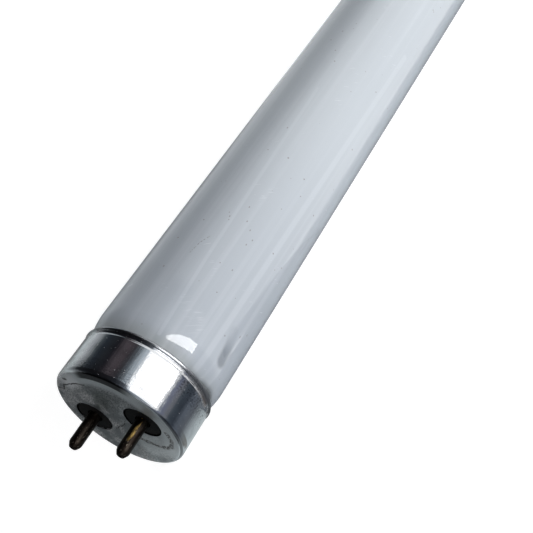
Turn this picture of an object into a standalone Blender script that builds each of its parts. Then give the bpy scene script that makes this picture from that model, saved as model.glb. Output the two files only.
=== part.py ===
"""Straight fluorescent tube with a two-pin cap on each end.

The tube lies along X with its middle at the origin. The two pins of each cap stand
side by side along Y. The pieces of an end are modelled in the frame of that end:
its origin is the centre of the cap's flat face and its +Z points out of the lamp,
so a depth under the face is a negative z there.
"""
import math

import bmesh
import bpy

# Driving dimensions, in metres
FACE_TO_FACE = 0.5898        # between the flat faces of the two caps
TUBE_RADIUS = 0.0130         # glass, along its straight length
SEAT_GAP = 0.0003            # between pieces that touch
OVERRUN = 0.002              # how far a cutter runs past what it cuts

# Cap, whose bead is flush with the glass: a shallow groove, then a rolled bead at the rim
CAP_HEIGHT = 0.0100          # face to rim
CAP_WALL = 0.00035           # aluminium sheet
CAP_CORNER_RADIUS = 0.0009
BEAD_RADIUS = 0.00045
BEAD_PROUD = 0.00015         # bead above the side wall
GROOVE_DEPTH = 0.00012
GROOVE_LENGTH = 0.0008
HOLE_RADIUS = 0.00375        # in the cap's face, round each pin
HOLE_MARGIN = 0.00185        # of flat face outside each hole
CAP_RADIUS = TUBE_RADIUS - BEAD_PROUD
CAP_INNER_RADIUS = CAP_RADIUS - CAP_WALL

# The pins stand as far apart as the holes allow: 12.7 mm, the standard spacing
PIN_OFFSET = CAP_RADIUS - CAP_CORNER_RADIUS - HOLE_MARGIN - HOLE_RADIUS
PIN_PLACES = (("front", -PIN_OFFSET), ("rear", PIN_OFFSET))

# Insulator: a round plate with a boss in each hole of the cap
PLATE_CLEARANCE = 0.0017     # between its edge and the cap's wall
PLATE_THICKNESS = 0.0016
BOSS_SINK = 0.00015          # face of the boss below the cap's face
PLATE_RADIUS = CAP_INNER_RADIUS - PLATE_CLEARANCE
PLATE_TOP = -(CAP_WALL + SEAT_GAP)
PLATE_BOTTOM = PLATE_TOP - PLATE_THICKNESS

# Contact pin
PIN_RADIUS = 0.00122
PIN_LENGTH = 0.0069          # above the cap's face
PIN_WALL = 0.00047
PIN_TIP_RADIUS = 0.00078     # flat end of the pin
PIN_TIP_WALL = 0.00033       # round the opening at the tip
PIN_CHAMFER_LENGTH = 0.0012
PIN_HEAD_FLANGE = 0.00088    # of the rivet head under the plate, round the pin
PIN_HEAD_THICKNESS = 0.0005

# Cement and glass neck fill the cap's wall from its inside
CEMENT_THICKNESS = 0.0004
CEMENT_LENGTH = 0.0028
NECK_RADIUS = CAP_INNER_RADIUS - CEMENT_THICKNESS - 2 * SEAT_GAP
NECK_LENGTH = 0.0014         # straight, between the shoulder and the rounded end
SHOULDER_OUTSIDE = 0.0030    # of the shoulder's length, above the rim
SHOULDER_INSIDE = 0.0030     # and under the cap
LIP_RADIUS = 0.0008          # rounded end of the glass
GLASS_INSET = CAP_HEIGHT - SHOULDER_INSIDE - NECK_LENGTH - LIP_RADIUS

# Stem, sealed into the end of the glass, with the exhaust tube in its middle
STEM_RADIUS = 0.0042         # bore of the stem
FLARE_LENGTH = 0.0080        # mouth of the stem, down to its bore
STEM_DEPTH = 0.0140          # from the end of the glass to the bottom of the stem
TIP_RADIUS = 0.0023          # exhaust tube
TIP_INSET = 0.0010           # its sealed tip below the end of the glass

# Wires
WIRE_RADIUS = 0.00025
WIRE_SETBACK = 0.0009        # end of the wire below the tip of the pin
BEND_START_SHARE = 0.75      # of the flare's length, where the wires start to spread

# Facets round each piece
TUBE_SEGMENTS = 48
CEMENT_SEGMENTS = 36
BOSS_SEGMENTS = 28
PIN_SEGMENTS = 16
WIRE_BEVEL_RESOLUTION = 2

MERGE_DISTANCE = 0.000005
SHARP_ANGLE = math.radians(35)


def clear_scene():
    for item in list(bpy.data.objects):
        bpy.data.objects.remove(item, do_unlink=True)


def make_collection(name):
    group = bpy.data.collections.new(name)
    bpy.context.scene.collection.children.link(group)
    return group


def make_material(name, color, roughness, metallic):
    material = bpy.data.materials.new(name)
    material.use_nodes = True
    material.diffuse_color = (*color, 1.0)
    shader = material.node_tree.nodes["Principled BSDF"]
    shader.inputs["Base Color"].default_value = (*color, 1.0)
    shader.inputs["Roughness"].default_value = roughness
    shader.inputs["Metallic"].default_value = metallic
    return material


def smooth_step(share):
    """0 to 1 with level ends."""
    return share * share * (3 - 2 * share)


def arc(center_r, center_z, radius, start_deg, end_deg, steps):
    """Points (r, z) of an arc; 0 degrees points away from the axis and 90 up."""
    points = []
    for step in range(steps + 1):
        angle = math.radians(start_deg + (end_deg - start_deg) * step / steps)
        points.append((center_r + radius * math.cos(angle), center_z + radius * math.sin(angle)))
    return points


def turned(name, outline, segments, closed=False):
    """A mesh of the outline's edges, turned about Z by a Screw modifier."""
    mesh = bpy.data.meshes.new(name)
    count = len(outline)
    edges = [(index, index + 1) for index in range(count - 1)]
    if closed:
        edges.append((count - 1, 0))
    mesh.from_pydata([(radius, 0, height) for radius, height in outline], edges, [])
    piece = bpy.data.objects.new(name, mesh)
    PARTS.objects.link(piece)
    screw = piece.modifiers.new("turn", "SCREW")
    screw.steps = segments
    screw.render_steps = segments
    screw.use_merge_vertices = True
    screw.merge_threshold = MERGE_DISTANCE
    return piece


def cylinder(name, radius, bottom, top, offset_y, group):
    """A capped cylinder along Z, from bottom to top."""
    mesh = bpy.data.meshes.new(name)
    shape = bmesh.new()
    bmesh.ops.create_cone(shape, cap_ends=True, segments=BOSS_SEGMENTS,
                          radius1=radius, radius2=radius, depth=top - bottom)
    bmesh.ops.translate(shape, verts=shape.verts, vec=(0, offset_y, (top + bottom) / 2))
    shape.to_mesh(mesh)
    shape.free()
    piece = bpy.data.objects.new(name, mesh)
    group.objects.link(piece)
    return piece


def combine(piece, other, operation):
    """Boolean with an object that stays as a wire guide among the cutters."""
    other.hide_render = True
    other.display_type = "WIRE"
    boolean = piece.modifiers.new(other.name, "BOOLEAN")
    boolean.operation = operation
    boolean.solver = "EXACT"
    boolean.object = other


def settle(piece, material):
    """Apply the modifiers, then shade smooth with the real corners sharp."""
    bpy.context.view_layer.update()
    evaluated = piece.evaluated_get(bpy.context.evaluated_depsgraph_get())
    mesh = bpy.data.meshes.new_from_object(evaluated)
    mesh.name = piece.name
    piece.modifiers.clear()
    piece.data = mesh
    mesh.shade_smooth()
    mesh.set_sharp_from_angle(angle=SHARP_ANGLE)
    mesh.materials.clear()
    mesh.materials.append(material)


def seat(piece, end):
    """Fix a piece to the frame of its end of the lamp."""
    piece.parent = end


def make_end(name, side):
    """The frame of one end: -1 is the left end and 1 the right one."""
    end = bpy.data.objects.new(name, None)
    end.empty_display_size = TUBE_RADIUS
    end.location = (side * FACE_TO_FACE / 2, 0, 0)
    end.rotation_euler = (0, side * math.pi / 2, 0)
    PARTS.objects.link(end)
    return end


def shoulder_radius(height):
    """Outer radius of the glass at a height in the frame of its end."""
    top = SHOULDER_INSIDE - CAP_HEIGHT
    share = (top - height) / (SHOULDER_INSIDE + SHOULDER_OUTSIDE)
    share = min(max(share, 0), 1)
    return NECK_RADIUS + (TUBE_RADIUS - NECK_RADIUS) * smooth_step(share)


def make_glass():
    """One sealed glass body: half of it is turned, then mirrored at the middle.

    The outline is in the frame of the left end, turned upside down: it runs from the
    middle down the outer side, over the shoulder and round the lip at the end, then
    back in over the flare of the stem and out again over the exhaust tip.
    """
    end = -FACE_TO_FACE / 2
    lip = end + GLASS_INSET
    outline = [(TUBE_RADIUS, 0)]
    shoulder_steps = 7
    for step in range(shoulder_steps + 1):
        height = -CAP_HEIGHT - SHOULDER_OUTSIDE
        height += (SHOULDER_OUTSIDE + SHOULDER_INSIDE) * step / shoulder_steps
        outline.append((shoulder_radius(height), end - height))
    outline += arc(NECK_RADIUS - LIP_RADIUS, lip + LIP_RADIUS, LIP_RADIUS, 0, -180, 5)
    mouth_radius = NECK_RADIUS - 2 * LIP_RADIUS
    flare_steps = 5
    for step in range(1, flare_steps + 1):
        share = step / flare_steps
        radius = STEM_RADIUS + (mouth_radius - STEM_RADIUS) * (1 - share) ** 2
        outline.append((radius, lip + LIP_RADIUS + FLARE_LENGTH * share))
    bottom = lip + STEM_DEPTH
    outline += [(STEM_RADIUS, bottom), (TIP_RADIUS, bottom)]
    outline += arc(0, lip + TIP_INSET + TIP_RADIUS, TIP_RADIUS, 0, -90, 4)
    outline[-1] = (0, lip + TIP_INSET)

    glass = turned("glass_tube", outline, TUBE_SEGMENTS)
    mirror = glass.modifiers.new("other_half", "MIRROR")
    mirror.use_axis = (False, False, True)
    mirror.use_mirror_merge = True
    mirror.merge_threshold = MERGE_DISTANCE
    glass.rotation_euler = (0, math.pi / 2, 0)
    settle(glass, GLASS)


def make_cap(side_name, end):
    """Drawn aluminium cap: an open outline, turned, thickened inwards and pierced."""
    rim = -CAP_HEIGHT
    bead_r = CAP_RADIUS + BEAD_PROUD - BEAD_RADIUS
    bead_z = rim + BEAD_RADIUS
    groove_z = bead_z + BEAD_RADIUS + GROOVE_LENGTH / 2
    outline = [(0, 0)]
    corner = CAP_CORNER_RADIUS
    outline += arc(CAP_RADIUS - corner, -corner, corner, 90, 0, 4)
    outline += [(CAP_RADIUS, groove_z + GROOVE_LENGTH / 2), (CAP_RADIUS - GROOVE_DEPTH, groove_z)]
    outline += arc(bead_r, bead_z, BEAD_RADIUS, 60, -90, 5)

    cap = turned(side_name + "_end_cap", outline, TUBE_SEGMENTS)
    shell = cap.modifiers.new("sheet", "SOLIDIFY")
    shell.thickness = CAP_WALL
    shell.offset = -1
    shell.use_even_offset = True
    for place, offset_y in PIN_PLACES:
        hole = cylinder(f"{side_name}_{place}_hole", HOLE_RADIUS, -CAP_WALL - OVERRUN, OVERRUN,
                        offset_y, CUTTERS)
        combine(cap, hole, "DIFFERENCE")
    settle(cap, ALUMINIUM)
    seat(cap, end)


def make_insulator(side_name, end):
    """Plate with a boss in each hole of the cap and a bore through each boss."""
    plate = cylinder(side_name + "_insulator", PLATE_RADIUS, PLATE_BOTTOM, PLATE_TOP, 0, PARTS)
    boss_bottom = (PLATE_BOTTOM + PLATE_TOP) / 2
    for place, offset_y in PIN_PLACES:
        boss = cylinder(f"{side_name}_{place}_boss", HOLE_RADIUS - SEAT_GAP, boss_bottom,
                        -BOSS_SINK, offset_y, CUTTERS)
        combine(plate, boss, "UNION")
    for place, offset_y in PIN_PLACES:
        bore = cylinder(f"{side_name}_{place}_bore", PIN_RADIUS + SEAT_GAP,
                        PLATE_BOTTOM - OVERRUN, OVERRUN, offset_y, CUTTERS)
        combine(plate, bore, "DIFFERENCE")
    settle(plate, PHENOLIC)
    seat(plate, end)


def make_pin(side_name, end, place, offset_y):
    """Hollow turned pin: chamfered tip outside, rivet head under the plate."""
    head_top = PLATE_BOTTOM - SEAT_GAP
    head_bottom = head_top - PIN_HEAD_THICKNESS
    outline = [
        (PIN_TIP_RADIUS - PIN_TIP_WALL, PIN_LENGTH),
        (PIN_TIP_RADIUS, PIN_LENGTH),
        (PIN_RADIUS, PIN_LENGTH - PIN_CHAMFER_LENGTH),
        (PIN_RADIUS, head_top),
        (PIN_RADIUS + PIN_HEAD_FLANGE, head_top),
        (PIN_RADIUS + PIN_HEAD_FLANGE, head_bottom),
        (PIN_RADIUS - PIN_WALL, head_bottom),
        (PIN_RADIUS - PIN_WALL, PIN_LENGTH - PIN_CHAMFER_LENGTH),
    ]
    pin = turned(f"{side_name}_{place}_pin", outline, PIN_SEGMENTS, closed=True)
    settle(pin, BRASS)
    pin.location = (0, offset_y, 0)
    seat(pin, end)


def make_cement(side_name, end):
    """Ring between the cap's wall and the neck, its inside following the glass."""
    outer = CAP_INNER_RADIUS - SEAT_GAP
    bottom = -(GLASS_INSET + LIP_RADIUS + CEMENT_LENGTH)
    steps = 3
    outline = [(outer, bottom + CEMENT_LENGTH), (outer, bottom)]
    for step in range(steps + 1):
        height = bottom + CEMENT_LENGTH * step / steps
        outline.append((shoulder_radius(height) + SEAT_GAP, height))
    ring = turned(side_name + "_cement_ring", outline, CEMENT_SEGMENTS, closed=True)
    settle(ring, CEMENT)
    seat(ring, end)


def make_wire(side_name, end, place, offset_y):
    """Wire from the bottom of the stem into the bore of a pin."""
    stem_y = math.copysign((STEM_RADIUS + TIP_RADIUS) / 2, offset_y)
    bottom = -(GLASS_INSET + STEM_DEPTH) + SEAT_GAP
    bend_start = -(GLASS_INSET + LIP_RADIUS + FLARE_LENGTH * BEND_START_SHARE)
    bend_end = PLATE_BOTTOM - SEAT_GAP - PIN_HEAD_THICKNESS
    top = PIN_LENGTH - WIRE_SETBACK
    bend_steps = 8
    route = [(stem_y, bottom)]
    for step in range(bend_steps + 1):
        share = step / bend_steps
        sideways = stem_y + (offset_y - stem_y) * smooth_step(share)
        route.append((sideways, bend_start + (bend_end - bend_start) * share))
    route.append((offset_y, top))

    curve = bpy.data.curves.new(f"{side_name}_{place}_wire", "CURVE")
    curve.dimensions = "3D"
    curve.bevel_depth = WIRE_RADIUS
    curve.bevel_resolution = WIRE_BEVEL_RESOLUTION
    curve.use_fill_caps = True
    spline = curve.splines.new("POLY")
    spline.points.add(len(route) - 1)
    for point, (across, height) in zip(spline.points, route):
        point.co = (0, across, height, 1)
    curve.materials.append(NICKEL)
    wire = bpy.data.objects.new(curve.name, curve)
    PARTS.objects.link(wire)
    seat(wire, end)


clear_scene()
PARTS = make_collection("fluorescent_tube")
CUTTERS = make_collection("cutters")
GLASS = make_material("milky_glass", (0.52, 0.56, 0.61), 0.15, 0.0)
ALUMINIUM = make_material("polished_aluminium", (0.72, 0.73, 0.75), 0.2, 1.0)
PHENOLIC = make_material("black_phenolic", (0.012, 0.012, 0.013), 0.45, 0.0)
BRASS = make_material("tarnished_brass", (0.10, 0.075, 0.045), 0.4, 1.0)
CEMENT = make_material("basing_cement", (0.30, 0.22, 0.14), 0.9, 0.0)
NICKEL = make_material("nickel_wire", (0.55, 0.53, 0.50), 0.35, 1.0)

make_glass()
for end_name, end_side in (("left", -1), ("right", 1)):
    lamp_end = make_end(end_name + "_end", end_side)
    make_cap(end_name, lamp_end)
    make_insulator(end_name, lamp_end)
    make_cement(end_name, lamp_end)
    for pin_place, pin_y in PIN_PLACES:
        make_pin(end_name, lamp_end, pin_place, pin_y)
        make_wire(end_name, lamp_end, pin_place, pin_y)
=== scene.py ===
"""Fluorescent tube: one end close to the camera, the rest running away behind it."""
import math

import bmesh
import bpy
import numpy as np
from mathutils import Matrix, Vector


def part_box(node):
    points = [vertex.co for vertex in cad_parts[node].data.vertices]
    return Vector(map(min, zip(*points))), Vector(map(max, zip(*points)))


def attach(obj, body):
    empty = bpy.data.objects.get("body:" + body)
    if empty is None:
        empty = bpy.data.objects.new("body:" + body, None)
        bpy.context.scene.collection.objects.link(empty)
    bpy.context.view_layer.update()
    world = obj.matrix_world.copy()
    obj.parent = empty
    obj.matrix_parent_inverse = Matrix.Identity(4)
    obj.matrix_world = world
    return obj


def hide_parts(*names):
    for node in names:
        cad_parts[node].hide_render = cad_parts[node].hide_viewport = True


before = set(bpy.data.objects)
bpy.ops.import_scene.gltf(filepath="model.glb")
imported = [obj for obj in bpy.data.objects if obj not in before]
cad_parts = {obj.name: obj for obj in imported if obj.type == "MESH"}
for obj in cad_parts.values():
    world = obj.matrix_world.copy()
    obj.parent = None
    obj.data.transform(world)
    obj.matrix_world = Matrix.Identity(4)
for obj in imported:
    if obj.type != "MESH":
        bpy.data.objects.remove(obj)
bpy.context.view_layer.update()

# Sealed glass tube
# The body of the lamp: a drawn soda glass tube, pulled in at each end and sealed to a stem
# whose flare opens towards the cap. The inner wall carries a milky coat of phosphor, which
# hides the stem and the filament.

MM = 0.001
AROUND = 192            # points round the tube, a cap or a pin

TUBE_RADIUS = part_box("glass_tube")[1].z
FACE_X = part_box("right_end_cap")[1].x
CAP_HEIGHT = 10.0 * MM
SHOULDER_OUTSIDE = 4.2 * MM
SHOULDER_INSIDE = 3.0 * MM
SHOULDER_DROP = 0.75 * MM
SHOULDER_START = 0.25   # of the fall is straight, the rest goes with the square
NECK_RADIUS = TUBE_RADIUS - 1.5 * MM
NECK_LENGTH = 1.4 * MM
LIP_RADIUS = 0.8 * MM
STEM_RADIUS = 4.2 * MM
FLARE_LENGTH = 8.0 * MM
STEM_DEPTH = 14.0 * MM
TIP_RADIUS = 2.3 * MM
TIP_INSET = 1.0 * MM
LIP_DEPTH = CAP_HEIGHT - SHOULDER_INSIDE - NECK_LENGTH - LIP_RADIUS


def arc(depth, radius, size, start_deg, end_deg, steps):
    """Points (depth, radius) of an arc round a centre: 0 degrees points into the lamp
    along its axis and 90 away from the axis."""
    angle = np.radians(np.linspace(start_deg, end_deg, steps + 1))
    return np.stack([depth + size * np.cos(angle), radius + size * np.sin(angle)], axis=1)


def glass_outline():
    """Profile (depth under the cap's face, radius) of one half of the glass, from its
    middle to the axis at the exhaust tip. Outside the cap the shoulder falls with the share
    of its length, a quarter of it straight and the rest with the square. Under the cap it
    ends on the second half of a smooth step. The flare's radius falls with the square of
    the share of its length that is left."""
    shoulder = CAP_HEIGHT + SHOULDER_OUTSIDE
    middle = np.append(np.linspace(FACE_X, shoulder + 2 * MM, 12),
                       [shoulder + 0.5 * MM, shoulder + 0.1 * MM])
    straight = np.stack([middle, np.full(len(middle), TUBE_RADIUS)], axis=1)
    share = np.linspace(0, 1, 33)
    fall = SHOULDER_DROP * share * (SHOULDER_START + (1 - SHOULDER_START) * share)
    outside = np.stack([CAP_HEIGHT + SHOULDER_OUTSIDE * (1 - share), TUBE_RADIUS - fall], axis=1)
    late = np.linspace(0.5, 1, 13)[1:]
    step = late * late * (3 - 2 * late)
    inside_radius = TUBE_RADIUS + step * (NECK_RADIUS - TUBE_RADIUS)
    inside = np.stack([CAP_HEIGHT - (2 * late - 1) * SHOULDER_INSIDE, inside_radius], axis=1)
    lip = arc(LIP_DEPTH + LIP_RADIUS, NECK_RADIUS - LIP_RADIUS, LIP_RADIUS, 90, 270, 10)
    mouth = NECK_RADIUS - 2 * LIP_RADIUS
    left = 1 - np.linspace(0, 1, 13)[1:]
    flare_depth = LIP_DEPTH + LIP_RADIUS + FLARE_LENGTH * (1 - left)
    flare = np.stack([flare_depth, STEM_RADIUS + (mouth - STEM_RADIUS) * left ** 2], axis=1)
    bottom = LIP_DEPTH + STEM_DEPTH
    stem = np.array([[bottom, STEM_RADIUS], [bottom, TIP_RADIUS]])
    tip = arc(LIP_DEPTH + TIP_INSET + TIP_RADIUS, 0, TIP_RADIUS, 90, 180, 8)
    return np.concatenate([straight, outside, inside, lip, flare, stem, tip])


def lathe(outline, side, offset_y=0.0):
    """Grid of points turned round an axis along X. The outline's depth is measured from the
    face of the cap on that side into the lamp, and side -1 is the left end."""
    angle = np.linspace(0, 2 * math.pi, AROUND, endpoint=False)
    depth, radius = outline[:, :1], outline[:, 1:]
    x = side * (FACE_X - depth) + 0 * angle
    return np.stack([x, offset_y + radius * np.cos(angle), radius * np.sin(angle)], axis=2)


def build_mesh(name, grids, material, smooth_deg=40):
    """One mesh of several grids of points, each closed round its second direction. Points
    that coincide are merged, and the faces are turned outwards."""
    points, faces, start = [], [], 0
    for grid in grids:
        rows, columns = grid.shape[:2]
        row = np.arange(rows - 1)[:, None]
        column = np.arange(columns)[None, :]
        after = (column + 1) % columns
        quad = np.stack([row * columns + column, row * columns + after,
                         (row + 1) * columns + after, (row + 1) * columns + column], axis=2)
        faces.append(quad.reshape(-1, 4) + start)
        points.append(grid.reshape(-1, 3))
        start += rows * columns
    mesh = bpy.data.meshes.new(name)
    mesh.from_pydata(np.concatenate(points).tolist(), [], np.concatenate(faces).tolist())
    work = bmesh.new()
    work.from_mesh(mesh)
    bmesh.ops.remove_doubles(work, verts=work.verts, dist=0.002 * MM)
    bmesh.ops.recalc_face_normals(work, faces=work.faces)
    work.to_mesh(mesh)
    work.free()
    mesh.shade_smooth()
    mesh.set_sharp_from_angle(angle=math.radians(smooth_deg))
    mesh.materials.append(material)
    piece = bpy.data.objects.new(name, mesh)
    bpy.context.scene.collection.objects.link(piece)
    return piece


def color(hex_code):
    """Linear colour, with full alpha, of an sRGB hex code."""
    channel = np.array([int(hex_code[i:i + 2], 16) for i in (1, 3, 5)]) / 255
    linear = np.where(channel <= 0.04045, channel / 12.92, ((channel + 0.055) / 1.055) ** 2.4)
    return (*linear.tolist(), 1.0)


def add_node(tree, kind, inputs=(), out=0, stops=(), **settings):
    """Adds a node and gives one of its outputs, or all for None. An input is linked if it is
    a socket, turned into a colour if it is a hex code, and set otherwise."""
    node = tree.nodes.new("ShaderNode" + kind)
    for name, value in settings.items():
        setattr(node, name, value)
    pairs = inputs.items() if isinstance(inputs, dict) else enumerate(inputs)
    for key, value in pairs:
        if isinstance(value, bpy.types.NodeSocket):
            tree.links.new(value, node.inputs[key])
        else:
            node.inputs[key].default_value = color(value) if isinstance(value, str) else value
    for index, (place, shade) in enumerate(stops):
        if index >= len(node.color_ramp.elements):
            node.color_ramp.elements.new(place)
        node.color_ramp.elements[index].position = place
        node.color_ramp.elements[index].color = color(shade)
    return node.outputs if out is None else node.outputs[out]


# Settings that many nodes share. A Mix of colours takes its share at input 0 and its two
# colours at inputs 6 and 7, and gives the result at output 2.
EASED = {"interpolation_type": "SMOOTHSTEP"}
COLORS = {"data_type": "RGBA", "out": 2}
TIMES = {"operation": "MULTIPLY"}
MOST = {"operation": "MAXIMUM"}


def start_material(name, **values):
    """A material with a Principled shader, whose plain values are set by name. Also gives
    the place on the piece in millimetres."""
    material = bpy.data.materials.new(name)
    material.use_nodes = True
    tree = material.node_tree
    shader = tree.nodes["Principled BSDF"]
    for socket, value in values.items():
        shader.inputs[socket.replace("_", " ")].default_value = value
    source = add_node(tree, "TexCoord", out="Object")
    place = add_node(tree, "VectorMath", {0: source, "Scale": 1 / MM}, operation="SCALE")
    return material, tree, shader, place


def unroll(tree, place):
    """The place's axes, the turn round the lamp's axis from its top in radians, the skin
    unrolled flat as (x, arc length), and the depth under the nearer cap's face."""
    axes = add_node(tree, "SeparateXYZ", (place,), None)
    turn = add_node(tree, "Math", (axes[1], axes[2]), operation="ARCTAN2")
    arc_length = add_node(tree, "Math", (turn, TUBE_RADIUS / MM), **TIMES)
    unrolled = add_node(tree, "CombineXYZ", (axes[0], arc_length))
    from_middle = add_node(tree, "Math", (axes[0],), operation="ABSOLUTE")
    depth = add_node(tree, "Math", (FACE_X / MM, from_middle), operation="SUBTRACT")
    return axes, turn, unrolled, depth


def finish_material(tree, shader, base=None, roughness=None, metallic=None, heights=()):
    """Links what varies, and chains bumps, each a (height, depth in millimetres) pair."""
    for socket, value in (("Base Color", base), ("Roughness", roughness), ("Metallic", metallic)):
        if value is not None:
            tree.links.new(value, shader.inputs[socket])
    last = None
    for height, depth in heights:
        values = {"Height": height, "Distance": depth * MM, "Strength": 1.0}
        if last:
            values["Normal"] = last
        last = add_node(tree, "Bump", values)
    if last:
        tree.links.new(last, shader.inputs["Normal"])


def near_line(tree, flat, points, width):
    """1 near the straight runs between points, each given as two numbers in millimetres on
    the flat place, falling to 0 from 0.4 of the width to the width away from them."""
    nearest = 1000.0
    for start, end in zip(points[:-1], points[1:]):
        run = np.subtract(end, start)
        unit = run / float(run @ run)
        from_start = add_node(tree, "VectorMath", (flat, (*start, 0)), operation="SUBTRACT")
        along = add_node(tree, "VectorMath", (from_start, (*unit, 0)), "Value", operation="DOT_PRODUCT")
        share = add_node(tree, "Clamp", (along,))
        foot = add_node(tree, "VectorMath", {0: (*run, 0), "Scale": share}, operation="SCALE")
        gap = add_node(tree, "VectorMath", (from_start, foot), "Value", operation="DISTANCE")
        nearest = add_node(tree, "Math", (nearest, gap), operation="MINIMUM")
    return add_node(tree, "MapRange", (nearest, width, width * 0.4), **EASED)


# Soda glass with a halophosphate coat behind it: milky blue-white and glossy, with soft lines
# along the draw and two long pale lines that are painted reflections. It is painted paler
# further from the caps, a painted gradient of light along the tube, and goes warm grey beside
# the caps, where the cathodes have darkened the coat. It carries scuffs, specks and short
# scratches from handling. A pattern scale of 1 / 9 makes features 9 mm long, and the marks'
# places are (x, arc length) in millimetres.
glass, tree, shader, place = start_material("phosphor_coated_glass", IOR=1.52)
axes, turn, unrolled, depth = unroll(tree, place)
broad = add_node(tree, "Mapping", {"Vector": unrolled, "Scale": (1 / 9, 1 / 9, 1)})
mottle = add_node(tree, "TexNoise", {"Vector": broad, "Scale": 1.0, "Detail": 2.0})
drawn = add_node(tree, "Mapping", {"Vector": unrolled, "Scale": (1 / 96, 1 / 1.6, 1)})
draw_lines = add_node(tree, "TexNoise", {"Vector": drawn, "Scale": 1.0, "Detail": 3.0})
near_end = add_node(tree, "Math", (mottle, 3.0, depth), operation="MULTIPLY_ADD")
# Painted light: the coat is paler further from the caps, as if more light falls further along the tube.
away = add_node(tree, "MapRange", (depth, 8, 85), **EASED)
body_color = add_node(tree, "Mix", {0: away, 6: "#B2B9C2", 7: "#C6CDD4"}, **COLORS)
darkened = add_node(tree, "MapRange", (near_end, 14.5, 11), **EASED)
body_color = add_node(tree, "Mix", {0: darkened, 6: body_color, 7: "#A1A7AB"}, **COLORS)
# Pale lines: the noise lines along the draw are the glass's own, and the two long lines are painted
# reflections.
draw_and_reflection_lines = add_node(tree, "MapRange", (draw_lines, 0.45, 0.75, 0, 0.15), **EASED)
painted_reflection_lines = ((((-283.0, -9.9), (-265.0, -9.0), (-215.0, -7.5)), 0.5),
                (((-286.0, -18.9), (-243.0, -19.4), (-190.0, -20.2)), 0.9))
for line, width in painted_reflection_lines:
    painted_reflection_line = add_node(tree, "Math", (near_line(tree, unrolled, line, width), 0.17), **TIMES)
    draw_and_reflection_lines = add_node(tree, "Math", (draw_and_reflection_lines, painted_reflection_line), **MOST)
body_color = add_node(tree, "Mix", {0: draw_and_reflection_lines, 6: body_color, 7: "#E6EBF1"}, **COLORS)

# Light hair scratches and a patch of scuffs.
bent = add_node(tree, "Mapping", {"Vector": unrolled, "Rotation": (0, 0, 0.9)})
long_way = add_node(tree, "Mapping", {"Vector": bent, "Scale": (1 / 3, 1 / 0.22, 1)})
hair_lines = add_node(tree, "TexNoise", {"Vector": long_way, "Scale": 1.0, "Detail": 1.0})
hairs = add_node(tree, "MapRange", (hair_lines, 0.70, 0.74), **EASED)
in_patches = add_node(tree, "MapRange", (mottle, 0.5, 0.6), **EASED)
hairs = add_node(tree, "Math", (hairs, in_patches), **TIMES)
scuffs = near_line(tree, unrolled, ((-275.4, -11.3), (-276.8, -13.2), (-278.2, -14.4)), 2.4)
scuff_lines = add_node(tree, "MapRange", (hair_lines, 0.57, 0.67, 0, 0.6), **EASED)
scuffs = add_node(tree, "Math", (scuffs, scuff_lines), **TIMES)
hairs = add_node(tree, "Math", (hairs, scuffs), **MOST)
light_hair = add_node(tree, "Math", (hairs, 0.3), **TIMES)
body_color = add_node(tree, "Mix", {0: light_hair, 6: body_color, 7: "#E8EBEE"}, **COLORS)

# Dark specks strewn all over, ten larger ones, and a broken dark scratch.
dust_place = add_node(tree, "Mapping", {"Vector": unrolled, "Scale": (1 / 0.35, 1 / 0.35, 1)})
dust = add_node(tree, "TexNoise", {"Vector": dust_place, "Scale": 1.0, "Detail": 4.0})
cells = add_node(tree, "TexVoronoi", {"Vector": unrolled, "Scale": 1 / 1.8}, None)
lucky = add_node(tree, "SeparateXYZ", (cells["Color"],), None)
speck_size = add_node(tree, "MapRange", (lucky[0], 0.45, 1.0, 0.0, 0.11))
specks = add_node(tree, "Math", (cells["Distance"], speck_size), operation="LESS_THAN")
marks = ((-272.9, -23.3), (-271.1, -24.9), (-264.8, -14.2), (-257.0, -14.2), (-255.0, -8.1),
         (-251.1, -10.2), (-255.5, -12.8), (-254.2, -11.4), (-258.6, -13.7), (-228.8, -7.2))
for x_mm, arc_mm in marks:
    dot = near_line(tree, unrolled, ((x_mm, arc_mm), (x_mm + 0.2, arc_mm)), 0.15)
    specks = add_node(tree, "Math", (specks, dot), **MOST)
scratch = near_line(tree, unrolled, ((-265.7, -5.8), (-262.9, -6.3), (-260.8, -7.2)), 0.14)
broken = add_node(tree, "MapRange", (dust, 0.45, 0.55, 0, 0.7), **EASED)
scratch = add_node(tree, "Math", (scratch, broken), **TIMES)
dark_mark = add_node(tree, "Math", (specks, scratch), **MOST)
dark_mark = add_node(tree, "Math", (dark_mark, 0.6), **TIMES)
body_color = add_node(tree, "Mix", {0: dark_mark, 6: body_color, 7: "#5A4C4A"}, **COLORS)

# A painted dark reflection beside the left cap, and the glass darker in the corner where it meets the cap.
# A painted dark reflection, a grey patch beside the left cap that fades along the tube.
dark_reflection_place = add_node(tree, "VectorMath", (mottle, (0, 2.4, 0), unrolled), operation="MULTIPLY_ADD")
painted_dark_reflection = near_line(tree, dark_reflection_place, ((-279.1, -21.4), (-276.4, -21.0), (-273.5, -20.2)), 1.7)
uneven = add_node(tree, "MapRange", (axes[0], -279.3, -274.0, 0.66, 0.12), **EASED)
painted_dark_reflection = add_node(tree, "Math", (painted_dark_reflection, uneven), **TIMES)
body_color = add_node(tree, "Mix", {0: painted_dark_reflection, 6: body_color, 7: "#6C737C"}, **COLORS)
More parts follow.
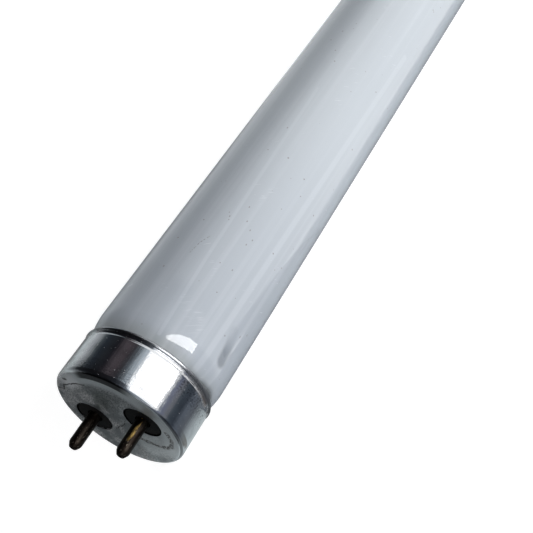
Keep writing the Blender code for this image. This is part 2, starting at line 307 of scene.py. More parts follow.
# The glass is darker in the corner where it meets the cap, on the front side.
darker_by_cap = add_node(tree, "MapRange", (near_end, 13.0, 11.6), **EASED)
front_side = add_node(tree, "MapRange", (turn, -1.25, -1.6, 0, 0.85), **EASED)
darker_by_cap = add_node(tree, "Math", (darker_by_cap, front_side), **TIMES)
body_color = add_node(tree, "Mix", {0: darker_by_cap, 6: body_color, 7: "#3A3C3F"}, **COLORS)
worn = add_node(tree, "Math", (hairs, specks), **MOST)
worn = add_node(tree, "Math", (worn, darker_by_cap), **MOST)
gloss = add_node(tree, "MapRange", (dust, 0.5, 0.8, 0.012, 0.06), **EASED)
gloss = add_node(tree, "Math", (worn, 0.4, gloss), operation="MULTIPLY_ADD")
finish_material(tree, shader, body_color, gloss, None, ((draw_lines, 0.0012), (dust, 0.0004)))

half = glass_outline()
left_half, right_half = lathe(half, -1), lathe(half, 1)
body = np.concatenate([left_half[::-1], right_half[1:]])
glass_piece = build_mesh("glass_body", [body], glass)
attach(glass_piece, "root")
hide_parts("glass_tube")

# Cement rings and lead wires
# Basing cement is a phenolic and marble flour paste, baked between the neck and the cap.
# The lead wires are nickel-plated iron, run from the stem into the pins and soldered there.

# Baked phenolic and marble cement: a matte, crumbly brown with paler half-millimetre grains.
cement, tree, shader, place = start_material("basing_cement", Specular_IOR_Level=0.3)
crumb = add_node(tree, "TexNoise", {"Vector": place, "Scale": 1 / 0.5, "Detail": 5.0})
share = add_node(tree, "MapRange", (crumb, 0.3, 0.7), **EASED)
base = add_node(tree, "Mix", {0: share, 6: "#8A5A36", 7: "#B48A60"}, **COLORS)
gloss = add_node(tree, "MapRange", (crumb, 0.2, 0.8, 0.75, 0.95))
finish_material(tree, shader, base, gloss, None, ((crumb, 0.05),))

# Drawn iron wire with a thin nickel plate: a warm grey metal, here and there a little duller.
wire_metal, tree, shader, place = start_material("nickel_plated_iron", Metallic=1.0)
tarnish = add_node(tree, "TexNoise", {"Vector": place, "Scale": 1 / 0.8, "Detail": 3.0})
share = add_node(tree, "MapRange", (tarnish, 0.3, 0.7), **EASED)
base = add_node(tree, "Mix", {0: share, 6: "#8C8781", 7: "#B9B6B0"}, **COLORS)
gloss = add_node(tree, "MapRange", (tarnish, 0.2, 0.8, 0.3, 0.5))
finish_material(tree, shader, base, gloss, None, ((tarnish, 0.004),))
for end_name in ("left", "right"):
    inner_parts = (("cement_ring", cement), ("front_wire", wire_metal), ("rear_wire", wire_metal))
    for part, material in inner_parts:
        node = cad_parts[f"{end_name}_{part}"]
        node.data.materials.clear()
        node.data.materials.append(material)

# End caps
# Each cap is one cup drawn from aluminium sheet 0.35 mm thick, with a rolled bead round its
# rim and two pierced holes. The wall keeps its mirror finish and the face has gone dull.

CAP_WALL = 0.35 * MM
CORNER_RADIUS = 0.9 * MM
BEAD_RADIUS = 0.45 * MM
BEAD_PROUD = 0.15 * MM
GROOVE_DEPTH = 0.12 * MM
GROOVE_LENGTH = 0.8 * MM
CAP_RADIUS = TUBE_RADIUS - BEAD_PROUD
PIN_OFFSET = 6.35 * MM
HOLE_RADIUS = 3.75 * MM
FLAT_RADIUS = CAP_RADIUS - CORNER_RADIUS


def cap_outline():
    """Profile (depth, radius) of the sheet: out over the corner, down the wall, round the
    groove and the bead, and back along the inside, offset by the sheet's thickness."""
    bead_depth = CAP_HEIGHT - BEAD_RADIUS
    bead_center = CAP_RADIUS + BEAD_PROUD - BEAD_RADIUS
    groove_depth = bead_depth - BEAD_RADIUS - GROOVE_LENGTH / 2
    share = np.linspace(-1, 1, 11)
    dip = GROOVE_DEPTH * (1 + np.cos(math.pi * share)) / 2
    groove = np.stack([groove_depth + share * GROOVE_LENGTH / 2, CAP_RADIUS - dip], axis=1)
    corner = arc(CORNER_RADIUS, FLAT_RADIUS, CORNER_RADIUS, 180, 90, 14)
    wall_depth = np.linspace(CORNER_RADIUS + 0.1 * MM, groove[0, 0] - 0.1 * MM, 8)
    wall = np.stack([wall_depth, np.full(len(wall_depth), CAP_RADIUS)], axis=1)
    bead = arc(bead_depth, bead_center, BEAD_RADIUS, 150, 0, 12)
    inner_bead = arc(bead_depth, bead_center, BEAD_RADIUS - CAP_WALL, 0, 150, 6)
    inside = np.stack([groove[::-1, 0], groove[::-1, 1] - CAP_WALL], axis=1)
    inner_corner = arc(CORNER_RADIUS, FLAT_RADIUS, CORNER_RADIUS - CAP_WALL, 90, 180, 8)
    return np.concatenate([corner, wall, groove, bead, inner_bead, inside, inner_corner])


def half_plate(side, front, depth):
    """Half of the pierced face: each ray from the hole's rim to the half disc's edge is split
    into eight. The edge is the disc's arc on that half, then the straight middle line."""
    quarter = AROUND // 4
    turn = np.arange(-quarter, quarter + 1) * 2 * math.pi / AROUND
    round_edge = np.stack([np.cos(turn), np.sin(turn)], axis=1) * FLAT_RADIUS
    line = np.linspace(1, -1, 41)[1:-1] * FLAT_RADIUS
    edge = np.concatenate([round_edge, np.stack([0 * line, line], axis=1)])
    center = np.array([PIN_OFFSET, 0])
    ray = edge - center
    hole = center + HOLE_RADIUS * ray / np.linalg.norm(ray, axis=1)[:, None]
    share = np.linspace(0, 1, 9)[:, None, None]
    flat = hole + share * (edge - hole)
    x = np.full(flat.shape[:2], side * (FACE_X - depth))
    return np.stack([x, front * flat[:, :, 0], flat[:, :, 1]], axis=2)


# Drawn aluminium: a bright wall whose fine draw marks fray the edges of what it mirrors, pits
# that scatter the highlight, brown handling dirt along the bead, and an oxidised grey face
# with scuffs, a hairline crack in its old lacquer near the edge and a few dents and specks.
# The draw marks are finer on the real wall, and are as coarse here as they need to show.
cap_metal, tree, shader, place = start_material("drawn_aluminium")
axes, turn, unrolled, depth = unroll(tree, place)
flat_face = add_node(tree, "CombineXYZ", (axes[1], axes[2]))
radius = add_node(tree, "VectorMath", (flat_face,), "Value", operation="LENGTH")
on_face = add_node(tree, "MapRange", (depth, 0.1, 0.02), **EASED)
ring_place = add_node(tree, "Mapping", {"Vector": unrolled, "Scale": (1 / 0.45, 1 / 7, 1)})
rings = add_node(tree, "TexNoise", {"Vector": ring_place, "Scale": 1.0, "Detail": 3.0})
frayed_place = add_node(tree, "Mapping", {"Vector": unrolled, "Scale": (1 / 3.2, 1 / 0.45, 1)})
frayed = add_node(tree, "TexNoise", {"Vector": frayed_place, "Scale": 1.0, "Detail": 3.0})
rubbed_place = add_node(tree, "Mapping",
                        {"Vector": unrolled, "Scale": (1 / 2.2, 1 / 3.5, 1), "Location": (2, 3, 0)})
rubbed = add_node(tree, "TexNoise", {"Vector": rubbed_place, "Scale": 1.0, "Detail": 3.0})
pits = add_node(tree, "TexNoise", {"Vector": place, "Scale": 1 / 0.3, "Detail": 2.0})
pitted = add_node(tree, "MapRange", (pits, 0.69, 0.76), **EASED)
blotch = add_node(tree, "TexNoise", {"Vector": place, "Scale": 1 / 2.6, "Detail": 4.0})
fine = add_node(tree, "TexNoise", {"Vector": place, "Scale": 1 / 0.28, "Detail": 4.0})

# The plain wall and the plain face, with painted light: a lighter band near the face's edge along its top
# and front.
wall_gloss = add_node(tree, "MapRange", (rings, 0.5, 0.8, 0.07, 0.14), **EASED)
share = add_node(tree, "MapRange", (frayed, 0.5, 0.8), **EASED)
wall_gloss = add_node(tree, "Math", (share, 0.1, wall_gloss), operation="MULTIPLY_ADD")
wall_gloss = add_node(tree, "Math", (pitted, 0.2, wall_gloss), operation="MULTIPLY_ADD")
face_gloss = add_node(tree, "MapRange", (fine, 0.2, 0.8, 0.42, 0.6))
rough = add_node(tree, "Mix", {0: on_face, 2: wall_gloss, 3: face_gloss})
share = add_node(tree, "MapRange", (rubbed, 0.4, 0.8), **EASED)
wall_color = add_node(tree, "Mix", {0: share, 6: "#DADCDF", 7: "#C4C6C9"}, **COLORS)
share = add_node(tree, "MapRange", (blotch, 0.38, 0.62), **EASED)
face_color = add_node(tree, "Mix", {0: share, 6: "#939496", 7: "#C4C4C5"}, **COLORS)
share = add_node(tree, "MapRange", (fine, 0.45, 0.6), **EASED)
face_color = add_node(tree, "Mix", {0: share, 6: face_color, 7: "#858688"}, **COLORS)
painted_light_band = add_node(tree, "MapRange", (radius, 8.4, 10.2, 0, 0.95), **EASED)
for full, none in ((0.4, 0.8), (-2.3, -2.7)):
    share = add_node(tree, "MapRange", (turn, none, full), **EASED)
    painted_light_band = add_node(tree, "Math", (painted_light_band, share), **TIMES)
face_color = add_node(tree, "Mix", {0: painted_light_band, 6: face_color, 7: "#DEE0E2"}, **COLORS)
base = add_node(tree, "Mix", {0: on_face, 6: wall_color, 7: face_color}, **COLORS)

# Marks on the left face only, each a line on (y, z) in millimetres that wanders a little: a
# darker green-grey band above the middle, a bare patch, and the dark crack, hairline, spot and
# row of dents.
left_end = add_node(tree, "Math", (axes[0], 0.0), operation="LESS_THAN")
marked = add_node(tree, "Math", (on_face, left_end), **TIMES)
wander = add_node(tree, "TexNoise", {"Vector": place, "Scale": 0.9, "Detail": 3.0}, "Color")
wander = add_node(tree, "VectorMath", (wander, (1, 1, 0), flat_face), operation="MULTIPLY_ADD")
wander = add_node(tree, "VectorMath", (wander, (0.5, 0.5, 0)), operation="SUBTRACT")
darker_green_band = near_line(tree, wander, ((-0.9, 6.2), (0.9, 4.0)), 2.3)
darker_green_band = add_node(tree, "Math", (darker_green_band, marked), **TIMES)
darker_green_band = add_node(tree, "Math", (darker_green_band, 0.4), **TIMES)
base = add_node(tree, "Mix", {0: darker_green_band, 6: base, 7: "#3F4C44"}, **COLORS)
bare = near_line(tree, wander, ((-3.0, -7.0), (-7.0, -6.0), (-9.5, -2.0)), 4.2)
bare = add_node(tree, "Math", (bare, marked), **TIMES)
bare = add_node(tree, "Math", (bare, 0.6), **TIMES)
base = add_node(tree, "Mix", {0: bare, 6: base, 7: "#DCDDDE"}, **COLORS)
dent_row = ((-1.7, -4.7), (-2.8, -5.6), (-5.0, -6.5), (-7.4, -7.0),
            (-9.0, -6.0), (-10.1, -4.2), (-10.5, -2.4))
speckled = add_node(tree, "MapRange", (fine, 0.41, 0.48), **EASED)
cuts = add_node(tree, "Math", (near_line(tree, wander, dent_row, 0.6), speckled), **TIMES)
crack_line = ((9.3, 7.9), (7.9, 7.5), (6.8, 8.8), (5.4, 8.9), (3.0, 9.4), (0.8, 9.1))
hairline = ((2.7, -2.9), (1.7, -2.3), (0.7, -2.1), (-1.3, -0.9))
for line, width in ((crack_line, 0.22), (hairline, 0.16), (((5.0, 10.4), (5.3, 10.4)), 0.5)):
    cuts = add_node(tree, "Math", (cuts, near_line(tree, wander, line, width)), **MOST)
cuts = add_node(tree, "Math", (cuts, marked), **TIMES)
share = add_node(tree, "Math", (cuts, 0.85), **TIMES)
base = add_node(tree, "Mix", {0: share, 6: base, 7: "#25211F"}, **COLORS)

# Wear and dirt on the wall: scrapes, brown dirt along the bead, a dulled bead, a darker groove
# on the front side and a haze on the back.
scraped = add_node(tree, "MapRange", (fine, 0.52, 0.6), **EASED)
towards_bead = add_node(tree, "MapRange", (depth, 3.5, 8.0, 0, 0.6), **EASED)
scraped = add_node(tree, "Math", (scraped, towards_bead), **TIMES)
front_side = add_node(tree, "MapRange", (turn, -1.15, -1.45), **EASED)
scraped = add_node(tree, "Math", (scraped, front_side), **TIMES)
base = add_node(tree, "Mix", {0: scraped, 6: base, 7: "#33353A"}, **COLORS)
front_side = add_node(tree, "MapRange", (turn, -1.45, -1.85), **EASED)
back_side = add_node(tree, "MapRange", (turn, -0.05, 0.35), **EASED)
by_bead = add_node(tree, "MapRange", (depth, 7.6, 8.6), **EASED)
patchy = add_node(tree, "MapRange", (blotch, 0.4, 0.55), **EASED)
dirt = add_node(tree, "Math", (front_side, back_side), **MOST)
dirt = add_node(tree, "Math", (dirt, by_bead), **TIMES)
dirt = add_node(tree, "Math", (dirt, patchy), **TIMES)
base = add_node(tree, "Mix", {0: dirt, 6: base, 7: "#575150"}, **COLORS)
rough = add_node(tree, "Math", (dirt, 0.4, rough), operation="MULTIPLY_ADD")
dulled = add_node(tree, "MapRange", (depth, 8.75, 9.15), **EASED)
share = add_node(tree, "Math", (dulled, 0.6), **TIMES)
base = add_node(tree, "Mix", {0: share, 6: base, 7: "#73767B"}, **COLORS)
rough = add_node(tree, "Math", (dulled, 0.08, rough), operation="MULTIPLY_ADD")
front_side = add_node(tree, "MapRange", (turn, -1.25, -1.6, 0, 0.75), **EASED)
darker_groove = add_node(tree, "MapRange", (depth, 8.3, 9.3), **EASED)
darker_groove = add_node(tree, "Math", (front_side, darker_groove), **TIMES)
base = add_node(tree, "Mix", {0: darker_groove, 6: base, 7: "#3C4046"}, **COLORS)
back_side = add_node(tree, "MapRange", (turn, 0.0, 0.45, 0, 0.5), **EASED)
hazy = add_node(tree, "MapRange", (blotch, 0.42, 0.56), **EASED)
hazy = add_node(tree, "Math", (back_side, hazy), **TIMES)
rough = add_node(tree, "Math", (hazy, 0.3, rough), operation="MULTIPLY_ADD")

# Lines on the corner, placed on the sheet's section as (radius, depth): on the front side a
# painted dark reflection at its inner edge and a patchy brown line at its outer edge, and along
# the top a painted dark reflection in black.
section = add_node(tree, "CombineXYZ", (radius, depth))
painted_dark_inner_line = near_line(tree, section, ((12.5, 0.2), (12.62, 0.3)), 0.24)
front_side = add_node(tree, "MapRange", (turn, -1.3, -1.5, 0, 0.7), **EASED)
painted_dark_inner_line = add_node(tree, "Math", (painted_dark_inner_line, front_side), **TIMES)
base = add_node(tree, "Mix", {0: painted_dark_inner_line, 6: base, 7: "#26282B"}, **COLORS)
brown_edge = near_line(tree, section, ((12.85, 0.8), (12.85, 1.3)), 0.5)
front_side = add_node(tree, "MapRange", (turn, -1.75, -2.1, 0, 0.8), **EASED)
brown_edge = add_node(tree, "Math", (brown_edge, front_side), **TIMES)
brown_edge = add_node(tree, "Math", (brown_edge, patchy), **TIMES)
base = add_node(tree, "Mix", {0: brown_edge, 6: base, 7: "#63564C"}, **COLORS)
# A painted dark reflection along the top of the corner.
painted_dark_top_line = near_line(tree, section, ((11.35, 0.0), (12.05, 0.03), (12.25, 0.1)), 0.5)
for full, none in ((-0.05, 0.12), (-0.7, -0.95)):
    share = add_node(tree, "MapRange", (turn, none, full), **EASED)
    painted_dark_top_line = add_node(tree, "Math", (painted_dark_top_line, share), **TIMES)
painted_dark_top_line = add_node(tree, "Math", (painted_dark_top_line, 0.9), **TIMES)
base = add_node(tree, "Mix", {0: painted_dark_top_line, 6: base, 7: "#0D0E11"}, **COLORS)

# Dirt, pits, the darker groove and haze aren't metal, and the cuts are sunk.
foul = add_node(tree, "Math", (pitted, 0.5), **TIMES)
for mark in (dirt, cuts, darker_groove, hazy):
    foul = add_node(tree, "Math", (foul, mark), **MOST)
metal = add_node(tree, "MapRange", (foul, 0, 1, 1, 0.2))
smooth = add_node(tree, "Math", (1.0, cuts), operation="SUBTRACT")
finish_material(tree, shader, base, rough, metal,
                ((rings, 0.0016), (frayed, 0.011), (rubbed, 0.003), (pits, 0.004), (smooth, 0.06)))

for end_name, side in (("left", -1), ("right", 1)):
    grids = [lathe(cap_outline(), side)]
    for front in (-1, 1):
        outer = half_plate(side, front, 0.0)
        inner = half_plate(side, front, CAP_WALL)
        grids += [outer, inner, np.stack([outer[0], inner[0]])]
    cap = build_mesh(end_name + "_cap", grids, cap_metal)
    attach(cap, "root")
    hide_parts(end_name + "_end_cap")

# Insulators
# A black phenolic plate sits behind each cap's face, and a round boss fills each hole a
# little below the metal. It is pressed from powder under heat, so it is dull and even.

# Black phenolic moulding: nearly lightless and dull, powdery, with brownish handling dirt.
phenolic, tree, shader, place = start_material("pressed_phenolic", Specular_IOR_Level=0.15)
powder = add_node(tree, "TexNoise", {"Vector": place, "Scale": 1 / 0.25, "Detail": 4.0})
brownish = add_node(tree, "TexNoise", {"Vector": place, "Scale": 1 / 2, "Detail": 3.0})
share = add_node(tree, "MapRange", (brownish, 0.4, 0.7), **EASED)
base = add_node(tree, "Mix", {0: share, 6: "#070708", 7: "#130E0B"}, **COLORS)
share = add_node(tree, "MapRange", (powder, 0.5, 0.8), **EASED)
base = add_node(tree, "Mix", {0: share, 6: base, 7: "#161412"}, **COLORS)
gloss = add_node(tree, "MapRange", (powder, 0.2, 0.8, 0.62, 0.82))
finish_material(tree, shader, base, gloss, None, ((powder, 0.01),))
for name in ("left_insulator", "right_insulator"):
    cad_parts[name].data.materials.clear()
    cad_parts[name].data.materials.append(phenolic)

# Contact pins
# Hollow brass pins, turned with a chamfered tip, riveted through the insulator and soldered
# to the lead wires. Years in a holder have turned them almost black.

PIN_RADIUS = 1.22 * MM
PIN_LENGTH = 6.9 * MM
PIN_TIP_RADIUS = 0.78 * MM
PIN_CHAMFER = 1.2 * MM
PIN_WALL = 0.47 * MM
PIN_MOUTH_WALL = 0.33 * MM
PIN_HEAD_RADIUS = 2.1 * MM
PIN_HEAD_THICKNESS = 0.5 * MM
PIN_HEAD_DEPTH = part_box("left_front_pin")[1].x + FACE_X - PIN_HEAD_THICKNESS
TIP_ROUNDING = 0.22 * MM


def pin_outline():
    """Profile (depth, radius) of a pin, from its open tip over the chamfer and down the shank
    to the rivet head, then back up the bore. The tip's edge is an arc, and the chamfer runs
    into the shank on a sine."""
    tip = arc(TIP_ROUNDING - PIN_LENGTH, PIN_TIP_RADIUS - TIP_ROUNDING, TIP_ROUNDING, 180, 110, 6)
    share = np.linspace(0, 1, 9)[1:]
    rise = np.sin(share * math.pi / 2)
    chamfer = np.stack([tip[-1, 0] + share * (PIN_CHAMFER - TIP_ROUNDING / 2),
                        tip[-1, 1] + rise * (PIN_RADIUS - tip[-1, 1])], axis=1)
    rest = np.array([
        [PIN_HEAD_DEPTH, PIN_RADIUS],
        [PIN_HEAD_DEPTH, PIN_HEAD_RADIUS],
        [PIN_HEAD_DEPTH + PIN_HEAD_THICKNESS, PIN_HEAD_RADIUS],
        [PIN_HEAD_DEPTH + PIN_HEAD_THICKNESS, PIN_RADIUS - PIN_WALL],
        [PIN_CHAMFER - PIN_LENGTH, PIN_RADIUS - PIN_WALL],
        [-PIN_LENGTH, PIN_TIP_RADIUS - PIN_MOUTH_WALL],
    ])
    return np.concatenate([tip, chamfer, rest, tip[:1]])


# Brass under a brown-black tarnish, rubbed back to the yellow metal where a spring pressed; the
# yellow streak along the upper front of the front pins is partly a painted highlight.
brass, tree, shader, place = start_material("tarnished_brass", Metallic=1.0)
axes = add_node(tree, "SeparateXYZ", (place,), None)
along_pin = add_node(tree, "Mapping", {"Vector": place, "Scale": (1 / 2.1, 1 / 0.7, 1 / 0.7)})
tarnish = add_node(tree, "TexNoise", {"Vector": along_pin, "Scale": 1.0, "Detail": 4.0})
glint_place = add_node(tree, "Mapping", {"Vector": place, "Scale": (1 / 0.7, 1 / 0.35, 1 / 0.35)})
glints = add_node(tree, "TexNoise", {"Vector": glint_place, "Scale": 1.0, "Detail": 3.0})
glints = add_node(tree, "MapRange", (glints, 0.62, 0.72), **EASED)
across = add_node(tree, "CombineXYZ", (axes[1], axes[2]))
# The yellow streak: rubbed brass, and partly a painted highlight along the pin.
rubbed = near_line(tree, across, ((-7.2, 1.0), (-7.1, 1.1)), 0.36)
bare_metal = add_node(tree, "MapRange", (tarnish, 0.42, 0.55), **EASED)
rubbed = add_node(tree, "Math", (rubbed, bare_metal), **TIMES)
from_middle = add_node(tree, "Math", (axes[0],), operation="ABSOLUTE")
by_face = add_node(tree, "MapRange", (from_middle, 299.6, 298.6), **EASED)
rubbed = add_node(tree, "Math", (rubbed, by_face), **TIMES)
share = add_node(tree, "MapRange", (tarnish, 0.35, 0.7), **EASED)
base = add_node(tree, "Mix", {0: share, 6: "#1B1613", 7: "#332E29"}, **COLORS)
# Grey glints painted into the colour: a painted highlight at random spots.
painted_glint_share = add_node(tree, "Math", (glints, 0.4), **TIMES)
base = add_node(tree, "Mix", {0: painted_glint_share, 6: base, 7: "#8D8579"}, **COLORS)
base = add_node(tree, "Mix", {0: rubbed, 6: base, 7: "#A58A52"}, **COLORS)
gloss = add_node(tree, "MapRange", (tarnish, 0.0, 1.0, 0.34, 0.6))
finish_material(tree, shader, base, gloss, None, ((tarnish, 0.02), (glints, 0.01)))

for end_name, side in (("left", -1), ("right", 1)):
    for row, front in (("front", -1), ("rear", 1)):
        grid = lathe(pin_outline(), side, front * PIN_OFFSET)
        pin = build_mesh(f"{end_name}_{row}_contact", [grid], brass)
        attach(pin, "root")
        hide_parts(f"{end_name}_{row}_pin")

# Studio
# A white floor, an even fill, a long soft lamp in front of the tube and a weaker one behind,
# and glowing cards that only reflections see: striped tunnels over the tube, a window and a
# striped floor.

FLOOR_Z = -TUBE_RADIUS - 0.1 * MM
FLOOR_HALF = 6.0
CARD_RADIUS = 0.7
CARD_FOOT = 1.2             # degrees that an arched card goes on under the axis, to the floor
ARCH_STEPS = 60
HOOD_START = -4.0           # the arched cards follow each other along X
COLLAR_START = -0.9
TUNNEL_START = -15 * MM
HALL_START = 120 * MM
HALL_END = 2.9
HOOD_END_X = -3.95
WINDOW_STRENGTH = 11.0
BLIND_STRENGTH = 2.0
WINDOW_INSET = 8 * MM       # from the cap's face to the point that sees the window at its tilts
WINDOW_STEPS = 22
FILL_STRENGTH = 0.125
LAMP_LENGTH = 1.5
LAMP_WIDTH = 0.5


def place_card(name, points, faces, material, glossy_only=True):
    """A stage card from points and faces, hidden from all but glossy rays if told so."""
    mesh = bpy.data.meshes.new(name)
    mesh.from_pydata(points.reshape(-1, 3).tolist(), [], faces)
    mesh.materials.append(material)
    card = bpy.data.objects.new(name, mesh)
    bpy.context.scene.collection.objects.link(card)
    if glossy_only:
        for ray_kind in ("camera", "diffuse", "transmission", "volume_scatter", "shadow"):
            setattr(card, "visible_" + ray_kind, False)


def glowing(name, stops, by_turn=True, strength=1.0):
    """Emission of one colour, or one that follows stops of (value, colour): the turn round
    the X axis in degrees, or the place along Y in millimetres."""
    material = bpy.data.materials.new(name)
    material.use_nodes = True
    tree = material.node_tree
    tree.nodes.clear()
    shade = stops
    if not isinstance(stops, str):
        axes = add_node(tree, "SeparateXYZ", (add_node(tree, "TexCoord", out="Object"),), None)
        if by_turn:
            value = add_node(tree, "Math", (axes[2], axes[1]), operation="ARCTAN2")
            value = add_node(tree, "Math", (value, 180 / math.pi), **TIMES)
        else:
            value = add_node(tree, "Math", (axes[1], 1 / MM), **TIMES)
        low, high = stops[0][0], stops[-1][0]
        share = add_node(tree, "MapRange", (value, low, high))
        shares = [((at - low) / (high - low), tone) for at, tone in stops]
        shade = add_node(tree, "ValToRGB", (share,), stops=shares)
    glow = add_node(tree, "Emission", (shade, strength))
    add_node(tree, "OutputMaterial", (glow,), None)
    return material


def arch(name, x_ends, material):
    """A half tunnel over the tube: x along its length, and a circle's arc across it."""
    turns = np.radians(np.linspace(-CARD_FOOT, 180 + CARD_FOOT, ARCH_STEPS + 1))
    x = np.array(x_ends)[:, None] + 0 * turns
    y = CARD_RADIUS * np.cos(turns) + 0 * x
    z = CARD_RADIUS * np.sin(turns) + 0 * x
    row = ARCH_STEPS + 1
    quads = [(a, a + 1, a + row + 1, a + row) for a in range(ARCH_STEPS)]
    place_card(name, np.stack([x, y, z], axis=2), quads, material)


# White paper: a diffuse floor that shows white to the camera and in reflections. There it is
# partly its own glow, more of it far away, so that it has no horizon but keeps a soft shadow.
paper = bpy.data.materials.new("white_paper")
paper.use_nodes = True
tree = paper.node_tree
tree.nodes.clear()
dull = add_node(tree, "BsdfDiffuse", ((0.8, 0.8, 0.8, 1),))
shaded = add_node(tree, "BsdfDiffuse", ((0.4, 0.4, 0.4, 1),))
source = add_node(tree, "TexCoord", out="Object")
from_lamp = add_node(tree, "VectorMath", (source,), "Value", operation="LENGTH")
lifted = add_node(tree, "MapRange", (from_lamp, 0.4, 1.8, 0.86, 1.0), **EASED)
lift = add_node(tree, "Emission", ((1, 1, 1, 1), lifted))
bright = add_node(tree, "AddShader", (shaded, lift))
light_path = add_node(tree, "LightPath", out=None)
seen = add_node(tree, "Math", (light_path["Is Camera Ray"], light_path["Is Glossy Ray"]), **MOST)
mixed = add_node(tree, "MixShader", (seen, dull, bright))
add_node(tree, "OutputMaterial", (mixed,), None)
corners = np.array([[-1, -1, 0], [1, -1, 0], [1, 1, 0], [-1, 1, 0]]) * FLOOR_HALF + [0, 0, FLOOR_Z]
place_card("floor", corners, [(0, 1, 2, 3)], paper, glossy_only=False)

# The world: a weak, slightly blue fill that shows as plain white.
world = bpy.data.worlds.new("studio")
bpy.context.scene.world = world
world.use_nodes = True
tree = world.node_tree
tree.nodes.clear()
light_path = add_node(tree, "LightPath", out=None)
seen = add_node(tree, "Math", (light_path["Is Camera Ray"], light_path["Is Glossy Ray"]), **MOST)
seen = add_node(tree, "Math", (seen, light_path["Is Transmission Ray"]), **MOST)
fill = add_node(tree, "Background", ((0.96, 0.98, 1, 1), FILL_STRENGTH))
white = add_node(tree, "Background", ((1, 1, 1, 1), 1.0))
mixed = add_node(tree, "MixShader", (seen, fill, white))
add_node(tree, "OutputWorld", (mixed,), None)

# Four arched cards in a row, striped by turn from the back (0) over the top (90) to the front
# (180). The left face mirrors the hood, the cap's corner and bead the collar, the cap's wall
# the tunnel, and the glass the hall.
hood_stops = [(-1.2, "#25272A"), (20, "#141518"), (90, "#141518"), (115, "#4A4E55"), (131, "#868F97"),
              (181.2, "#A0AAB2")]
collar_stops = [(-1.2, "#848B8A"), (12, "#959B9C"), (30, "#5E6163"), (40, "#1C1E21"), (60, "#0E0F11"),
                (92, "#161518"), (108, "#1D1F23"), (119, "#33363B"), (127, "#4C5157"), (131, "#B8BEC4"),
                (134, "#FFFFFF"), (181.2, "#FFFFFF")]
tunnel_stops = [(-1.2, "#AAB2B3"), (3, "#B6BDBF"), (11, "#C6CED0"), (19, "#C4C9CA"), (27, "#AAADB1"),
                (37, "#8A8E90"), (43, "#50565A"), (52, "#2A3037"), (66, "#26292D"), (76, "#1F1F24"),
                (88, "#4E484C"), (97, "#4A4347"), (104, "#38363A"), (112, "#5A6066"), (119, "#A4AEB5"),
                (125, "#C6CED5"), (130, "#FFFFFF"), (181.2, "#FFFFFF")]
hall_stops = [(-1.2, "#B8BDC0"), (12, "#C4C9CC"), (26, "#ADB3B6"), (42, "#6C7276"), (55, "#15181C"),
              (72, "#1A1B1E"), (84, "#7A7476"), (96, "#D8DCDE"), (128, "#FFFFFF"), (181.2, "#FFFFFF")]
arch("hood", (HOOD_START, COLLAR_START), glowing("hood_stripes", hood_stops))
arch("collar", (COLLAR_START, TUNNEL_START), glowing("collar_stripes", collar_stops, strength=1.4))
arch("tunnel", (TUNNEL_START, HALL_START), glowing("tunnel_stripes", tunnel_stops))
arch("hall", (HALL_START, HALL_END), glowing("hall_stripes", hall_stops, strength=1.2))
corners = np.array([[0, -1, -1], [0, 1, -1], [0, 1, 1], [0, -1, 1]]) * CARD_RADIUS + [HOOD_END_X, 0, 0]
place_card("hood_end", corners, [(0, 1, 2, 3)], glowing("hood_end_grey", "#5A6068"))


def window_part(name, turn_deg, low_tilt, high_tilt, material):
    """A strip of the window over a row of turns: just inside the arched cards, and along X
    from the tangent of the low tilt to that of the high one, times its radius."""
    turns = np.radians(np.array(turn_deg, dtype=float))
    tilts = np.tan(np.radians(np.array([low_tilt, high_tilt], dtype=float)))
    radius = CARD_RADIUS * 0.99
    x = tilts * radius - FACE_X + WINDOW_INSET
    y = radius * np.cos(turns) + 0 * x
    z = radius * np.sin(turns) + 0 * x
    row = len(turn_deg)
    quads = [(a, a + 1, a + row + 1, a + row) for a in range(row - 1)]
    place_card(name, np.stack([x, y, z], axis=2), quads, material)


# The window, which the wall of the left cap and the start of the glass mirror: a dimmer half
# behind a blind, a bright half, and the bright part whose outline shows on the glass.
pane = glowing("window_pane", "#FFFFFF", strength=WINDOW_STRENGTH)
blind = glowing("window_blind", "#FFFFFF", strength=BLIND_STRENGTH)
window_halves = (("window_left", 128.5, 163.0, blind), ("window_right", 163.0, 181.2, pane))
for name, first, last, material in window_halves:
    turns = np.linspace(first, last, WINDOW_STEPS)
    window_part(name, turns, np.full(WINDOW_STEPS, 21.9), np.full(WINDOW_STEPS, 25.2), material)
window_part("window_low", [134, 138, 144, 150, 158, 165, 172, 181.2],
            [6.0, 3.4, 4.2, 5.1, 6.2, 7.2, 8.1, 9.3],
            [6.7, 10.5, 14.5, 17.8, 20.2, 21.9, 21.9, 21.9], pane)

# The table under the lamp as the metal mirrors it: stripes along the lamp, placed by Y in
# millimetres, and patches on them with their outlines as (x, y) in millimetres.
floor_stops = [(-700, "#FFFFFF"), (-160, "#FFFFFF"), (-125, "#9499A2"), (-75, "#6F7486"), (-49, "#73757B"),
               (-37, "#444C54"), (-28, "#373D46"), (-24.5, "#444B52"), (-20, "#6E7580"), (-17.5, "#666B73"),
               (-15, "#5C6064"), (-12.5, "#7F898C"), (-10, "#CBD4D6"), (14, "#8C9496"), (40, "#595B5A"),
               (67, "#595B5A"), (100, "#7C7E80"), (300, "#7C8283"), (700, "#7C8283")]
corners = np.array([[HOOD_START, -CARD_RADIUS], [HALL_END, -CARD_RADIUS], [HALL_END, CARD_RADIUS],
                    [HOOD_START, CARD_RADIUS]])
corners = np.append(corners, np.full((4, 1), FLOOR_Z + 0.05 * MM), axis=1)
place_card("floor_card", corners, [(0, 1, 2, 3)], glowing("floor_stripes", floor_stops, by_turn=False))
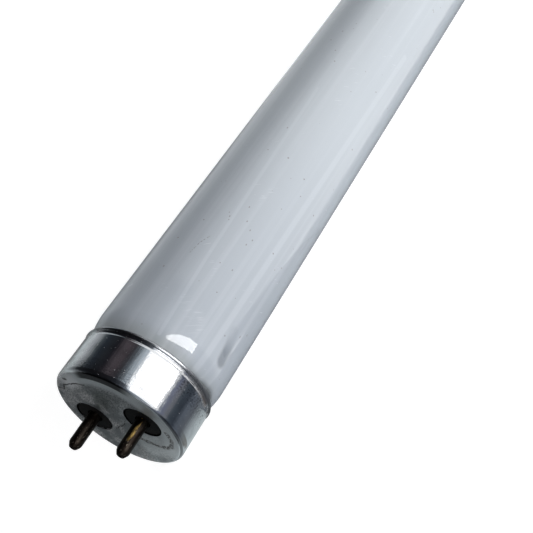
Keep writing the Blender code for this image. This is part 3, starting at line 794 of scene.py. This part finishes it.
patches = (("front_floor", 0.10, "#6E7476", ((-300, -12), (-300, 70), (-430, 70), (-430, -12))),
           ("lit_table", 0.10, "#FFFFFF",
            ((-278.6, -16), (-277, -20), (-273.5, -28.5), (-270, -36), (-252, -75), (-219, -140),
             (65, -700), (2900, -700), (2900, -16))),
           ("lit_far_table", 0.10, "#E0E4E6", ((-165, 25), (2900, 25), (2900, 300), (-20, 300))),
           ("near_table", 0.10, "#757B81", ((-284, -16), (2900, -16), (2900, 14), (-284, 14))),
           ("table_shadow", 0.15, "#1A1E24",
            ((-272, -19), (-269, -24.5), (-262, -25.5), (-253, -21), (-242, -16), (-234.5, -11),
             (-235.5, -9), (-241.5, -12.8), (-256, -15), (-265, -16.5))))
for name, lift_mm, shade, outline in patches:
    points = np.array([(x, y, FLOOR_Z / MM + lift_mm) for x, y in outline]) * MM
    place_card(name, points, [tuple(range(len(outline)))], glowing(name, shade))

# Two soft lamps, aimed at the tube. Reflections don't see them, as the cards stand for them.
lamps = (("front_lamp", (0.2, -0.773, 0.207), 75, 10.3), ("back_lamp", (0.2, 0.783, 0.166), -78, 9.0))
for name, location, tilt_deg, power in lamps:
    lamp_data = bpy.data.lights.new(name, "AREA")
    lamp_data.shape = "RECTANGLE"
    lamp_data.size = LAMP_LENGTH
    lamp_data.size_y = LAMP_WIDTH
    lamp_data.energy = power
    lamp = bpy.data.objects.new(name, lamp_data)
    bpy.context.scene.collection.objects.link(lamp)
    lamp.location = location
    lamp.rotation_euler = (math.radians(tilt_deg), 0, 0)
    lamp.visible_glossy = False

# The camera, close to the left end, in front of the tube and a little above it.
camera_data = bpy.data.cameras.new("camera")
camera = bpy.data.objects.new("camera", camera_data)
bpy.context.scene.collection.objects.link(camera)
bpy.context.scene.camera = camera
camera_data.sensor_width = 36.0
camera_data.lens = 60.418
camera_data.clip_start = 0.01
camera.location = (-349.95 * MM, -121.24 * MM, 86.33 * MM)
camera.rotation_euler = (math.radians(54.113), math.radians(28.297), math.radians(-59.038))

bpy.context.scene.view_settings.view_transform = "Standard"
